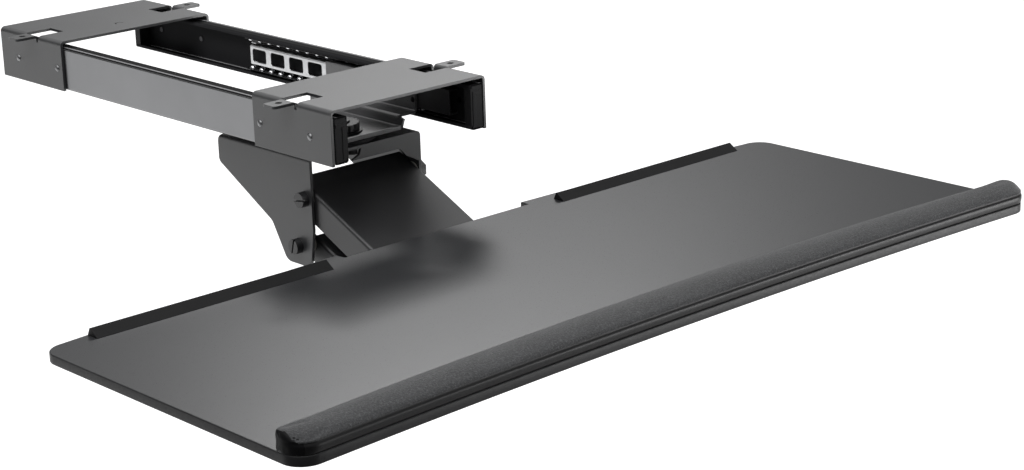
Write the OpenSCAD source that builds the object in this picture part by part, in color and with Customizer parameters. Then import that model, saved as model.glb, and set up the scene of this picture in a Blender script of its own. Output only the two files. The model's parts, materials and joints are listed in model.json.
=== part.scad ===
// Under-desk keyboard tray: a ball-bearing track, a swivelling carriage,
// a parallel lift arm, a tilting head and a board with a palm rest.
// X runs to the user's right, -Y points to the user, +Z is up.
// The origin is the centre of the four desk screw holes, on the desk plane.

/* [Track caps] */
// Width over the sides of the two track caps
cap_width = 152.4; // [150:0.1:156]
// Length of one cap along the track
cap_len = 95; // [92:1:110]
// Height of a cap from the desk to the flange edge
cap_h = 42.5; // [42:0.1:46]
// Sheet thickness of the caps
cap_sheet = 2.2; // [2:0.1:2.6]
// Outer bend radius of the caps
cap_bend = 4; // [3:0.1:6]
// Distance from a cap's outer end to its screw tabs
tab_from_end = 50; // [40:1:60]
// Width of a screw tab
tab_w = 15; // [12:1:17]
// Reach of a screw tab beyond the cap's side
tab_reach = 18.8; // [17:0.1:24]
// Distance of the screw hole beyond the cap's side
tab_hole_out = 8.8; // [7:0.1:10]
// Diameter of a desk screw hole
tab_hole_d = 5.5; // [4:0.1:6]
// Length along the track of the window each tab was cut from
window_w = 20; // [19:1:26]
// Reach of that window inwards from the cap's side
window_reach = 25.7; // [20:0.1:32]
// Depth of the window below the desk plane
window_sill = 5.5; // [4.5:0.1:8]
// Radius of the crescent mark on the rear cap
mark_r = 4; // [2:0.1:6]
// Width of the crescent mark
mark_w = 0.9; // [0.6:0.1:1.5]

/* [Rails] */
// Length of the outer rails
rail_len = 457; // [455:1:520]
// Depth of a rail, sideways
rail_depth = 13; // [12.8:0.1:13.4]
// Height of a rail
rail_h = 36; // [35:0.1:36.4]
// Wall thickness of a rail
rail_wall = 1.4; // [1.2:0.1:1.6]
// Height of the lips that close a rail's mouth
rail_lip = 3.2; // [2:0.1:4]
// Drop of a rail's top below the desk plane
rail_drop = 5.7; // [5:0.1:6]
// Outer bend radius of a rail
rail_bend = 2; // [1.8:0.1:2.5]
// Depth of the plastic bumpers in the rail ends
bumper_len = 7.5; // [5:0.1:7.6]
// Head diameter of the cap rivets
rivet_head_d = 6; // [5:0.1:7]
// Shank diameter of the cap rivets
rivet_d = 3.2; // [2.5:0.1:3.6]
// Distance of the outer cap rivets from the cap's outer end
rivet_near = 26; // [15:1:34]
// Distance of the inner cap rivets from the cap's outer end
rivet_far = 87; // [70:1:88]

/* [Ball cages] */
// Distance of the ball cages from the front of the rails
cage_start = 40; // [30:1:50]
// Length of a ball cage
cage_len = 252.6; // [245:0.1:265]
// Sheet thickness of a ball cage
cage_sheet = 0.8; // [0.6:0.1:1]
// Diameter of the balls
ball_d = 6; // [5.6:0.1:6.2]
// Distance between balls in a row
ball_pitch = 13.1; // [12:0.1:16]
// Number of balls in a row
ball_count = 18; // [8:1:18]
// Distance from the cage's rear end to the first ball
ball_end = 4.4; // [4.4:0.1:8]
// Width of a window in the cage
cage_window_w = 18.7; // [12:0.1:20]
// Height of a window in the cage
cage_window_h = 11.4; // [6:0.1:13]
// Distance from the cage's ends to its middle panel
panel_inset = 7.6; // [5:0.1:10]
// Distance from the panel's rear end to the first window
window_inset = 3; // [2:0.1:6]
// Distance between windows in the cage
cage_window_pitch = 25.4; // [22:0.1:26]
// Number of windows in a cage
cage_windows = 9; // [4:1:9]

/* [Carriage] */
// Distance of the sliders from the front of the rails
slider_start = 25; // [20:1:30]
// Distance of the carriage's rear end from the front of the rails
carriage_end = 176; // [174:1:190]
// Height of a slider
slider_h = 20.2; // [20:0.1:21]
// Sideways depth of a slider
slider_depth = 9.1; // [8:0.1:9.3]
// Wall thickness of a slider
slider_wall = 1.2; // [1:0.1:1.4]
// Sheet thickness of the pan between the sliders
pan_sheet = 2; // [1.6:0.1:2.2]
// Half the width of the pan's sunken floor
pan_half = 43; // [38:1:48]
// Depth of the pan floor's top below the desk plane
pan_floor = 45; // [44:0.1:46]
// Depth of the pan's side shelves below the desk plane
pan_shelf = 36; // [35:0.1:37]
// Depth of the upright edges' top below the desk plane
pan_upright = 13; // [12:0.1:14]
// Distance of the pan's front edge from the front of the rails
pan_start = 60; // [58:1:62]
// Height of the lip on the pan's front edge, over the floor
pan_lip = 1.5; // [0.5:0.1:3]
// Distance of the pan's sides behind its front edge
pan_side_setback = 4; // [1:0.1:8]
// Gap between the front edge and the sides of the pan's floor
pan_floor_inset = 3; // [2:0.1:5]
// Reach of the noses on the floor's side walls, from the pan's sides
pan_nose = 5.8; // [3:0.1:8]
// Head diameter of the pan rivets
pan_rivet_head_d = 5; // [4:0.1:6]
// Distance of the front pan rivets behind the pan's front edge
pan_rivet_front = 7; // [6:0.1:12]
// Distance of the rear pan rivets before the carriage's rear end
pan_rivet_rear = 8; // [6:0.1:12]

/* [Swivel] */
// Distance of the swivel axis from the front of the rails
swivel_y = 88; // [84:1:92]
// Diameter of the plastic disc between pan and bracket
disc_d = 60; // [50:1:62]
// Thickness of that disc
disc_t = 2.7; // [2.4:0.1:4]
// Diameter of the swivel bolt
swivel_bolt_d = 10; // [8:0.1:10.4]
// Head diameter of the swivel bolt
swivel_head_d = 22; // [18:1:26]
// Head height of the swivel bolt
swivel_head_h = 4; // [3:0.1:5]
// Diameter of the washer on the pan
washer_d = 37; // [36:1:42]
// Thickness of that washer
washer_t = 1.4; // [1:0.1:2]
// Diameter of the fluted swivel nut
swivel_nut_d = 33; // [28:0.1:34]
// Height of the swivel nut
swivel_nut_h = 7.6; // [6:0.1:8]
// Number of flutes round the swivel nut
swivel_nut_flutes = 18; // [12:1:20]
// Radius of a flute
swivel_flute_r = 1.8; // [1:0.1:2.2]

/* [Bracket] */
// Width over the swivel bracket's side plates
bracket_width = 111; // [110:0.1:114]
// Sheet thickness of the swivel bracket
bracket_sheet = 2.5; // [2:0.1:2.6]
// Outer bend radius of the swivel bracket
bracket_bend = 4; // [3:0.1:6]
// Distance of the bracket's front edge from the front of the rails
bracket_front = 55.5; // [54:0.1:56]
// Distance of the bracket's rear edge from the front of the rails
bracket_rear = 173; // [160:1:185]
// Height of the side plates at the rear
plate_rear_h = 22.8; // [18:0.1:26]
// Height of the side plates where the lower lobe starts
plate_knee_h = 59.5; // [54:0.1:64]
// Height of the side plates in all
plate_h = 88.6; // [87:0.1:94]
// Distance of that lobe's knee behind the lower pivot
lobe_knee = 32.5; // [28:0.1:36]
// Distance of the lobe's foot behind the lower pivot
lobe_foot_rear = 15.5; // [13:0.1:18]
// Distance of the lobe's foot in front of the lower pivot
lobe_foot_front = 14.5; // [12:0.1:16]
// Height over the lower pivot where the lobe's front edge turns
lobe_turn = 15; // [12:0.1:20]
// Height of the folded front flange
front_flange_h = 10.8; // [7:0.1:12]
// Distance of the flange's left end from the middle
flange_left = 4; // [3:0.1:5]
// Distance from the middle to where the flange starts to deepen
flange_right = 34; // [30:0.1:38]
// Head diameter of the small screw beside the front flange
small_screw_head_d = 8.4; // [7:0.1:9]
// Head height of that screw
small_screw_head_h = 4.8; // [4:0.1:6]
// Distance of that screw from the middle
small_screw_x = 8; // [6:0.1:12]

/* [Lift arms] */
// Distance between the two pivots of an arm
arm_len = 110.3; // [110:0.1:114]
// Slope of the arms below level as drawn, in degrees
arm_slope = 25; // [23:0.1:27]
// Distance of the upper pivot from the front of the rails
upper_pivot_y = 64; // [62:0.1:66]
// Depth of the upper pivot below the desk plane
upper_pivot_drop = 83.6; // [82:0.1:84]
// Distance of the lower pivot behind the upper one
lower_pivot_back = 10.5; // [9:0.1:12]
// Depth of the lower pivot below the upper one
lower_pivot_drop = 39.5; // [38:0.1:41]
// Length of the spacers between the bracket and the upper arm
upper_spacer_len = 1; // [0.6:0.1:2]
// Length of the spacers between the head and the lower arm
head_spacer_len = 3.1; // [2:0.1:6]
// Sheet thickness of the arms
arm_sheet = 2.2; // [2:0.1:2.4]
// Height of an arm's top face over its pivot line
arm_top = 8.3; // [7.8:0.1:8.6]
// Depth of the upper arm's sides below its pivot line
upper_arm_depth = 15; // [11:0.1:16]
// Depth of the lower arm's sides below its pivot line
lower_arm_depth = 12; // [9:0.1:14]
// Length of the upper arm behind its rear pivot
upper_arm_tail = 17.2; // [12:0.1:18]
// Length of the lower arm behind its rear pivot
lower_arm_tail = 12; // [10:0.1:13]
// Diameter of the pivot bolts
pivot_d = 8; // [7:0.1:8.4]
// Head diameter of the pivot bolts
pivot_head_d = 12; // [11:0.1:14]
// Head height of the pivot bolts
pivot_head_h = 6; // [4:0.1:7]
// Width across flats of the pivot nuts
pivot_nut_af = 13; // [12:0.1:14]
// Height of the pivot nuts
pivot_nut_h = 6.5; // [5:0.1:8]
// Diameter of the spacers on the pivot bolts
spacer_d = 15; // [12:1:17]

/* [Head] */
// Side gap between the upper arm and the head bracket inside it
head_gap = 0.5; // [0.4:0.1:1]
// Sheet thickness of the head bracket
head_sheet = 2.2; // [2:0.1:2.4]
// Distance of the tilt axis in front of the rails
tilt_y = 60; // [59:0.1:62]
// Depth of the tilt axis below the board's top
tilt_drop = 17.9; // [17.6:0.1:20]
// Diameter of the tilt knob
knob_d = 19; // [16:0.1:19.4]
// Length of the tilt knob
knob_len = 18; // [14:1:24]
// Number of grips round the tilt knob
knob_grips = 8; // [5:1:10]

/* [Board] */
// Width of the board
board_w = 708; // [660:1:760]
// Thickness of the board
board_t = 7.1; // [6.6:0.1:7.4]
// Depth of the board's top below the desk plane
board_drop = 102.1; // [100:0.1:104]
// Distance of the board's rear corners in front of the rails
board_rear = 35.6; // [34:0.1:37]
// Bow of the board's rear edge
rear_bow = 17; // [10:0.1:17.4]
// Distance of the board's front corners in front of the rails
board_front = 311.6; // [300:0.1:330]
// Sag of the board's front edge towards the back at the middle
front_bow = 10.2; // [4:0.1:14]
// Corner radius at the rear of the board
rear_corner_r = 16; // [8:1:24]
// Corner radius at the front of the board
front_corner_r = 16; // [8:1:19]
// Half the width of the notch behind the middle of the board
notch_half = 92; // [70:1:100]
// Distance of the notch's edge in front of the rails
notch_y = 28.2; // [27.8:0.1:32]

/* [Palm rest] */
// Height of the palm rest over the board
rest_h = 13.5; // [11:0.1:15]
// Height of the palm rest's front seam over the board
rest_seam_h = 7.8; // [6:0.1:9]
// Rise of the palm rest's crown over its rear edge
rest_crown = 0.9; // [0.3:0.1:1.6]
// Distance of the palm rest's rear corners in front of the rails
rest_rear = 286; // [282:0.1:290]
// Sag of its rear edge towards the back at the middle
rest_rear_bow = 14; // [8:0.1:16]
// How far its sides draw in at the foot
rest_draw = 0.8; // [0.3:0.1:1.5]
// Height of the bevel along its rear edge
rest_bevel = 3; // [2:0.1:4]

/* [Stop bars] */
// Distance of a stop bar's inner end from the middle
bar_inner = 115; // [105:1:130]
// Length of a stop bar
bar_len = 201; // [150:1:205]
// Depth of a stop bar, front to back
bar_depth = 12; // [8:0.1:14]
// Height of a stop bar
bar_h = 6; // [4:0.1:9]
// Distance of a stop bar's rear face in front of the rails
bar_y = 33; // [32.8:0.1:40]
// Distance of a stop bar's ridge in front of its rear face
bar_ridge = 3; // [2:0.1:5]

/* [Hidden] */
// Rounding of a stop bar's ridge
bar_ridge_r = 0.8;
// Rounding of the tray plate's ears
plate_ear_r = 5;
// Rounding where the tray plate's ears meet its wide part
plate_neck_r = 8;
// How far the slot in each bolt's head happens to be turned: the arms' bolts, then the tilt bolt
upper_pivot_slot = 82;
lower_pivot_slot = 15;
upper_end_slot = 40;
lower_end_slot = 65;
tilt_bolt_slot = 30;
// Every circle in the model is true round
$fn = 48;
// Radial running clearance of a turning bolt in its hole
turn_gap = 0.05;
// Radial play of the pivot where the arm linkage closes
closing_gap = 0.4;
// Clearance between a slider or pan and the rail's mouth
slide_gap = 0.3;
// Clearance round the cage's middle panel inside the slider
cage_gap = 0.4;
// Height of the closed tails of the pan rivets
pan_rivet_tail = 0.8;
// Clearance of a plastic piece pushed into a rail
plug_gap = 0.1;
// Clearance of a ball in its hole in the cage
ball_gap = 0.02;

cap_half = cap_width / 2;
rail_out = cap_half - cap_sheet;
rail_in = rail_out - rail_depth;
rail_mid_z = -rail_drop - rail_h / 2;
cage_end = cage_start + cage_len;
slider_in = rail_in - slide_gap;
upright_in = slider_in - pan_sheet;
bracket_top = -pan_floor - pan_sheet - disc_t;
bracket_half = bracket_width / 2;
upper_arm_half = bracket_half - bracket_sheet - upper_spacer_len;
head_half = upper_arm_half - arm_sheet - head_gap;
lower_arm_half = head_half - head_sheet - head_spacer_len;
pivot_r = pivot_d / 2;
upper_pivot = [upper_pivot_y, -upper_pivot_drop];
lower_pivot = upper_pivot + [lower_pivot_back, -lower_pivot_drop];
arm_step = -arm_len * [cos(arm_slope), sin(arm_slope)];
upper_end = upper_pivot + arm_step;
lower_end = lower_pivot + arm_step;
tilt_axis = [-tilt_y, -board_drop - tilt_drop];
board_top = -board_drop;
board_bottom = -board_drop - board_t;
board_half = board_w / 2;

// Where the top of an arm ends before its front pivot
arm_top_stop = 14;
// Where the top of the lower arm starts in front of its rear pivot
lower_top_start = 3;
// Length of an arm beyond its front pivot
arm_nose = 12;
// Sheet thickness of the plate under the board
tray_sheet = 2.2;
// Side gap between the head's sides and the ears of that plate
ear_gap = 0.5;
ear_half = head_half - head_sheet - ear_gap;
// Radius of the ears and of the head's round ends
ear_r = 9;
tilt_boss_r = 8;
head_boss_r = 11;
// Front face, top and height of the head bracket's cross web
head_front = -76;
head_web_top = tilt_axis[1] - 7;
head_web_h = 24;
// Plate under the board: neck, rear and front edges, half width
plate_rear = -42;
plate_neck = -78;
plate_front = -190;
plate_half = 90;
plate_corner = 12;
// Screws that hold that plate
plate_screw_r = 2;
plate_screw_head_r = 4.5;
plate_screw_head_h = 2.2;
plate_screw_bite = 5.5;
plate_screw_spots = [[-75, -95], [75, -95], [-75, -175], [75, -175], [-28, -51], [28, -51]];
// Small screw in the bracket
small_screw_r = 2;
small_screw_y = 62.4;
// Pan rivet places along the track, with their depths
pan_rivet_r = 1.6;
pan_rivet_z = rail_mid_z - 3.5;
pan_rivet_spots = [[pan_start + pan_rivet_front, pan_rivet_z], [swivel_y + 1, pan_rivet_z - 1.5],
  [carriage_end - pan_rivet_rear, pan_rivet_z]];

// Moves the front end of the rails to its place before the origin
module place() {
  translate([0, -rail_len / 2, 0]) children();
}

// Both sides of the track
module both_sides() {
  children();
  mirror([1, 0, 0]) children();
}

// A section drawn in X and Z, drawn out along the track
module along_y(y0, y1) {
  translate([0, y1, 0]) rotate([90, 0, 0]) linear_extrude(y1 - y0) children();
}

// An outline drawn in Y and Z, drawn out sideways
module along_x(x0, x1) {
  translate([x0, 0, 0]) rotate([90, 0, 90]) linear_extrude(x1 - x0) children();
}

// A round bar lying sideways at a place in Y and Z
module rod_x(x0, x1, at, r) {
  translate([x0, at[0], at[1]]) rotate([0, 90, 0]) cylinder(h = x1 - x0, r = r);
}

// A round bar standing at a place in X and Y
module rod_z(z0, z1, at, r) {
  translate([at[0], at[1], z0]) cylinder(h = z1 - z0, r = r);
}

// A box between two corners
module block(a, b) {
  translate(a) cube(b - a);
}

// A flat rectangle between two corners, with round corners
module round_rect(a, b, r) {
  translate(a + [r, 0]) square(b - a - [2 * r, 0]);
  translate(a + [0, r]) square(b - a - [0, 2 * r]);
  for (x = [a[0] + r, b[0] - r]) {
    for (y = [a[1] + r, b[1] - r]) {
      translate([x, y]) circle(r);
    }
  }
}

// The section of a bent channel, open downwards, with its top at zero
module channel(half_w, h, t, bend) {
  difference() {
    intersection() {
      round_rect([-half_w, -h - 2 * bend], [half_w, 0], bend);
      translate([-half_w, -h]) square([2 * half_w, h]);
    }
    round_rect([t - half_w, -h - 2 * bend], [half_w - t, -t], bend - t);
  }
}

function unit(v) = v / norm(v);

// The arc that rounds corner b between its neighbours a and c
function corner_arc(a, b, c, r, steps) =
  let (
    u = unit(a - b),
    v = unit(c - b),
    half = acos(u * v) / 2,
    middle = b + unit(u + v) * r / sin(half),
    from = b + u * r / tan(half) - middle,
    to = b + v * r / tan(half) - middle,
    start = atan2(from[1], from[0]),
    half_turn = 180,
    turn = (atan2(to[1], to[0]) - start + 3 * half_turn) % (2 * half_turn) - half_turn
  )
  [for (i = [0:steps]) middle + r * [cos(start + turn * i / steps), sin(start + turn * i / steps)]];

// An outline whose corners are rounded by the given radii
function rounded(points, radii, steps = 6) =
  let (last = len(points) - 1)
  [for (i = [0:last])
    each radii[i] > 0
      ? corner_arc(points[i == 0 ? last : i - 1], points[i], points[i == last ? 0 : i + 1], radii[i], steps)
      : [points[i]]];

// A shallow dome standing on the XY plane
module dome(r, h) {
  ball_r = (r * r + h * h) / (2 * h);
  intersection() {
    translate([0, 0, h - ball_r]) sphere(ball_r);
    cylinder(h = 2 * h, r = r + 1);
  }
}

// A hexagon by its width across flats
module hexagon(af) {
  circle(af / sqrt(3), $fn = 6);
}

// One end cap of the track, with its outer end at y = 0
module cap_body() {
  tab_in = cap_half - cap_sheet;
  tab_out = cap_half + tab_reach;
  tab_line = [[tab_in, -window_sill - 1], [tab_in, 0], [tab_out, 0], [tab_out, -cap_sheet],
    [cap_half, -cap_sheet], [cap_half, -window_sill - 1]];
  tab_plan = [[tab_in - 1, -tab_w / 2], [tab_out, -tab_w / 2], [tab_out, tab_w / 2], [tab_in - 1, tab_w / 2]];
  difference() {
    union() {
      difference() {
        along_y(0, cap_len) channel(cap_half, cap_h, cap_sheet, cap_bend);
        both_sides() block(
          [cap_half - window_reach, tab_from_end - window_w / 2, -window_sill],
          [cap_half + 1, tab_from_end + window_w / 2, 1]);
      }
      both_sides() intersection() {
        along_y(0, cap_len) polygon(rounded(tab_line, [0, 3, 0, 0, 0.8, 0]));
        translate([0, tab_from_end, -cap_h]) linear_extrude(cap_h + 1)
          polygon(rounded(tab_plan, [0, 3, 3, 0]));
      }
    }
    both_sides() rod_z(-cap_h, 1, [cap_half + tab_hole_out, tab_from_end], tab_hole_d / 2);
    for (y = [rivet_near, rivet_far]) {
      rod_x(-cap_half - 1, cap_half + 1, [y, rail_mid_z], rivet_d / 2);
    }
  }
}

module front_cap() {
  color([0.3, 0.31, 0.33]) place() cap_body();
}

module rear_cap() {
  mark_from_edge = 25;
  color([0.3, 0.31, 0.33]) place() difference() {
    translate([0, rail_len, 0]) mirror([0, 1, 0]) cap_body();
    translate([0, rail_len - cap_len + mark_from_edge, -cap_sheet - 1]) difference() {
      cylinder(h = cap_sheet + 2, r = mark_r);
      translate([0, 0, -1]) cylinder(h = cap_sheet + 4, r = mark_r - mark_w);
      translate([-mark_r - 1, -2 * mark_r, -1]) cube([2 * mark_r + 2, 2 * mark_r, cap_sheet + 4]);
    }
  }
}

// The right rail, a C that opens to the middle
module rail_body() {
  z0 = -rail_drop - rail_h;
  z1 = -rail_drop;
  difference() {
    along_y(0, rail_len) difference() {
      round_rect([rail_in, z0], [rail_out, z1], rail_bend);
      round_rect([rail_in + rail_wall, z0 + rail_wall], [rail_out - rail_wall, z1 - rail_wall],
        rail_bend - rail_wall);
      translate([rail_in - 1, z0 + rail_lip]) square([rail_wall + 2, rail_h - 2 * rail_lip]);
    }
    for (y = [rivet_near, rivet_far, rail_len - rivet_far, rail_len - rivet_near]) {
      rod_x(rail_out - rail_wall - 1, rail_out + 1, [y, rail_mid_z], rivet_d / 2);
    }
  }
}

module right_rail() {
  color([0.33, 0.34, 0.36]) place() rail_body();
}

module left_rail() {
  color([0.33, 0.34, 0.36]) place() mirror([1, 0, 0]) rail_body();
}

// A rivet that holds a rail in a cap, with its head outside
module cap_rivet(y) {
  tail_h = 0.6;
  dome_h = 1.4;
  rod_x(rail_out - rail_wall - tail_h, cap_half, [y, rail_mid_z], rivet_d / 2);
  rod_x(rail_out - rail_wall - tail_h, rail_out - rail_wall, [y, rail_mid_z], rivet_d / 2 + 0.8);
  translate([cap_half, y, rail_mid_z]) rotate([0, 90, 0]) dome(rivet_head_d / 2, dome_h);
}

module rail_rivets() {
  color([0.85, 0.86, 0.87]) place() both_sides() {
    for (y = [rivet_near, rivet_far, rail_len - rivet_far, rail_len - rivet_near]) {
      cap_rivet(y);
    }
  }
}

// A plastic block that closes a rail's end
module bumper_body() {
  x0 = rail_in + rail_wall + plug_gap;
  x1 = rail_out - rail_wall - plug_gap;
  z0 = -rail_drop - rail_h + rail_wall + plug_gap;
  z1 = -rail_drop - rail_wall - plug_gap;
  block([x0, 0, z0], [x1, bumper_len, z1]);
  block([rail_in, 0, -rail_drop - rail_h + rail_lip + plug_gap],
    [x0 + 1, bumper_len, -rail_drop - rail_lip - plug_gap]);
}

module front_bumpers() {
  color([0.1, 0.1, 0.11]) place() both_sides() bumper_body();
}

module rear_bumpers() {
  color([0.1, 0.1, 0.11]) place() both_sides() translate([0, rail_len - bumper_len, 0]) bumper_body();
}

// Half the height between the two rows of balls
ball_row = (rail_h / 2 - rail_wall + slider_h / 2) / 2;
ball_x = (rail_in + rail_out) / 2;
cage_web_out = slider_in + slider_depth + 1 + cage_sheet;
cage_mouth_gap = 2.4;
panel_x = slider_in + slider_wall + pan_rivet_tail + cage_gap;
panel_half = slider_h / 2 - slider_wall - cage_gap;

// Half of a cage's section from its middle: panel, step, deep upright, ball flange
function cage_outer_line() = [
  [panel_x + cage_sheet, panel_half - cage_sheet],
  [cage_web_out, panel_half - cage_sheet],
  [cage_web_out, ball_row + cage_sheet / 2],
  [rail_in + cage_mouth_gap, ball_row + cage_sheet / 2]];

function cage_inner_line() = [
  [rail_in + cage_mouth_gap, ball_row - cage_sheet / 2],
  [cage_web_out - cage_sheet, ball_row - cage_sheet / 2],
  [cage_web_out - cage_sheet, panel_half],
  [panel_x, panel_half]];

// The right ball cage: two ball flanges round the slider, joined by a panel inside it
module cage_body() {
  half = concat(cage_outer_line(), cage_inner_line());
  bends = [0.4, 1.2, 1.2, 0, 0, 0.4, 0.4, 1.2];
  whole = concat(half, [for (i = [7:-1:0]) [half[i][0], -half[i][1]]]);
  radii = concat(bends, [for (i = [7:-1:0]) bends[i]]);
  panel_end = cage_end - panel_inset;
  cut_from = panel_x - 1;
  cut_to = cage_web_out - cage_sheet - 0.4;
  cut_half = panel_half + 0.1;
  difference() {
    along_y(cage_start, cage_end) translate([0, rail_mid_z]) polygon(rounded(whole, radii, 4));
    block([cut_from, panel_end, rail_mid_z - cut_half], [cut_to, cage_end + 1, rail_mid_z + cut_half]);
    block([cut_from, cage_start - 1, rail_mid_z - cut_half],
      [cut_to, cage_start + panel_inset, rail_mid_z + cut_half]);
    for (i = [0:cage_windows - 1]) {
      y1 = panel_end - window_inset - i * cage_window_pitch;
      along_x(panel_x - 1, panel_x + cage_sheet + 1)
        round_rect([y1 - cage_window_w, rail_mid_z - cage_window_h / 2],
          [y1, rail_mid_z + cage_window_h / 2], 2);
    }
    for (i = [0:ball_count - 1]) {
      for (side = [-1, 1]) {
        rod_z(rail_mid_z + side * ball_row - cage_sheet, rail_mid_z + side * ball_row + cage_sheet,
          [ball_x, cage_end - ball_end - i * ball_pitch], ball_d / 2 + ball_gap);
      }
    }
  }
}

module right_ball_cage() {
  color([0.8, 0.81, 0.83]) place() cage_body();
}

module left_ball_cage() {
  color([0.8, 0.81, 0.83]) place() mirror([1, 0, 0]) cage_body();
}

module ball_rows() {
  for (i = [0:ball_count - 1]) {
    for (side = [-1, 1]) {
      translate([ball_x, cage_end - ball_end - i * ball_pitch, rail_mid_z + side * ball_row])
        sphere(ball_d / 2);
    }
  }
}

module right_balls() {
  color([0.9, 0.9, 0.92]) place() ball_rows();
}

module left_balls() {
  color([0.9, 0.9, 0.92]) place() mirror([1, 0, 0]) ball_rows();
}

// The right slider, a C that opens to the rail's web
module slider_body() {
  x0 = slider_in;
  x1 = slider_in + slider_depth;
  z0 = rail_mid_z - slider_h / 2;
  z1 = rail_mid_z + slider_h / 2;
  difference() {
    block([x0, slider_start, z0], [x1, carriage_end, z1]);
    block([x0 + slider_wall, slider_start - 1, z0 + slider_wall],
      [x1 + 1, carriage_end + 1, z1 - slider_wall]);
    for (spot = pan_rivet_spots) {
      rod_x(x0 - 1, x0 + slider_wall + 1, spot, pan_rivet_r);
    }
  }
}

module right_slider() {
  color([0.7, 0.71, 0.73]) place() slider_body();
}

module left_slider() {
  color([0.7, 0.71, 0.73]) place() mirror([1, 0, 0]) slider_body();
}

// One half of the pan's section, from the middle outwards and back
function pan_half_line() = [
  [pan_half, -pan_floor - pan_sheet],
  [pan_half, -pan_shelf - pan_sheet],
  [slider_in, -pan_shelf - pan_sheet],
  [slider_in, -pan_upright],
  [upright_in, -pan_upright],
  [upright_in, -pan_shelf],
  [pan_half - pan_sheet, -pan_shelf],
  [pan_half - pan_sheet, -pan_floor]];

module carriage_pan() {
  line = pan_half_line();
  bends = [3, 1, 3, 0.6, 0.6, 1, 3, 1];
  front = pan_start + pan_side_setback;
  under = -pan_floor - pan_sheet;
  nose_top = -pan_shelf - 0.5;
  nose_line = [[front + 1, nose_top], [front, nose_top], [front - pan_nose / 2, nose_top - 1.8],
    [front - pan_nose, nose_top - 2.2], [front - pan_nose / 2, under + 1], [front + 1, under + 1]];
  whole = concat(line, [for (i = [7:-1:0]) [-line[i][0], line[i][1]]]);
  radii = concat(bends, [for (i = [7:-1:0]) bends[i]]);
  color([0.12, 0.12, 0.13]) place() difference() {
    union() {
      along_y(front, carriage_end) polygon(rounded(whole, radii));
      block([pan_floor_inset - pan_half, pan_start, under],
        [pan_half - pan_floor_inset, front + 1, -pan_floor]);
      block([pan_floor_inset - pan_half, pan_start, under],
        [pan_half - pan_floor_inset, pan_start + pan_sheet, -pan_floor + pan_lip]);
      both_sides() along_x(pan_half - pan_sheet, pan_half) polygon(nose_line);
    }
    rod_z(-pan_floor - pan_sheet - 1, -pan_floor + 1, [0, swivel_y], swivel_bolt_d / 2 + turn_gap);
    for (spot = pan_rivet_spots) {
      rod_x(-slider_in - 1, slider_in + 1, spot, pan_rivet_r);
    }
  }
}

// Rivets through the pan's uprights and the sliders
module pan_rivets() {
  tail_end = slider_in + slider_wall + pan_rivet_tail;
  color([0.85, 0.86, 0.87]) place() both_sides() for (spot = pan_rivet_spots) {
    rod_x(upright_in, tail_end, spot, pan_rivet_r);
    rod_x(slider_in + slider_wall, tail_end, spot, pan_rivet_r + 0.7);
    translate([upright_in, spot[0], spot[1]]) rotate([0, -90, 0]) dome(pan_rivet_head_d / 2, 1.2);
  }
}

module swivel_disc() {
  color([0.2, 0.2, 0.21]) place() difference() {
    rod_z(bracket_top, bracket_top + disc_t, [0, swivel_y], disc_d / 2);
    rod_z(bracket_top - 1, bracket_top + disc_t + 1, [0, swivel_y], swivel_bolt_d / 2 + turn_gap);
  }
}

washer_top = -pan_floor + washer_t;

module swivel_bolt() {
  color([0.25, 0.25, 0.27]) place() translate([0, swivel_y, 0]) {
    under = bracket_top - bracket_sheet;
    rod_z(under, washer_top + swivel_nut_h + 1, [0, 0], swivel_bolt_d / 2);
    translate([0, 0, under]) rotate([180, 0, 0]) dome(swivel_head_d / 2, swivel_head_h);
  }
}

module swivel_washer() {
  color([0.2, 0.2, 0.21]) place() difference() {
    rod_z(-pan_floor, washer_top, [0, swivel_y], washer_d / 2);
    rod_z(-pan_floor - 1, washer_top + 1, [0, swivel_y], swivel_bolt_d / 2);
  }
}

// A round nut with flutes, raised round the bolt
module swivel_nut() {
  collar_r = swivel_bolt_d / 2 + 4;
  collar_h = 1.6;
  flute_at = swivel_nut_d / 2 + swivel_flute_r / 2;
  color([0.15, 0.15, 0.16]) place() translate([0, swivel_y, washer_top]) difference() {
    union() {
      rod_z(0, swivel_nut_h - collar_h, [0, 0], swivel_nut_d / 2);
      rod_z(0, swivel_nut_h, [0, 0], collar_r);
    }
    rod_z(-1, swivel_nut_h + 1, [0, 0], swivel_bolt_d / 2);
    for (i = [0:swivel_nut_flutes - 1]) {
      turn = 360 * i / swivel_nut_flutes;
      rod_z(-1, swivel_nut_h + 1, flute_at * [cos(turn), sin(turn)], swivel_flute_r);
    }
  }
}

// The outline of the swivel bracket's side plates, in Y and Z
function plate_line() = [
  [bracket_rear, bracket_top],
  [bracket_rear, bracket_top - plate_rear_h],
  [lower_pivot[0] + lobe_knee, bracket_top - plate_knee_h],
  [lower_pivot[0] + lobe_foot_rear, bracket_top - plate_h],
  [lower_pivot[0] - lobe_foot_front, bracket_top - plate_h],
  [bracket_front, lower_pivot[1] + lobe_turn],
  [bracket_front, bracket_top]];

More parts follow.
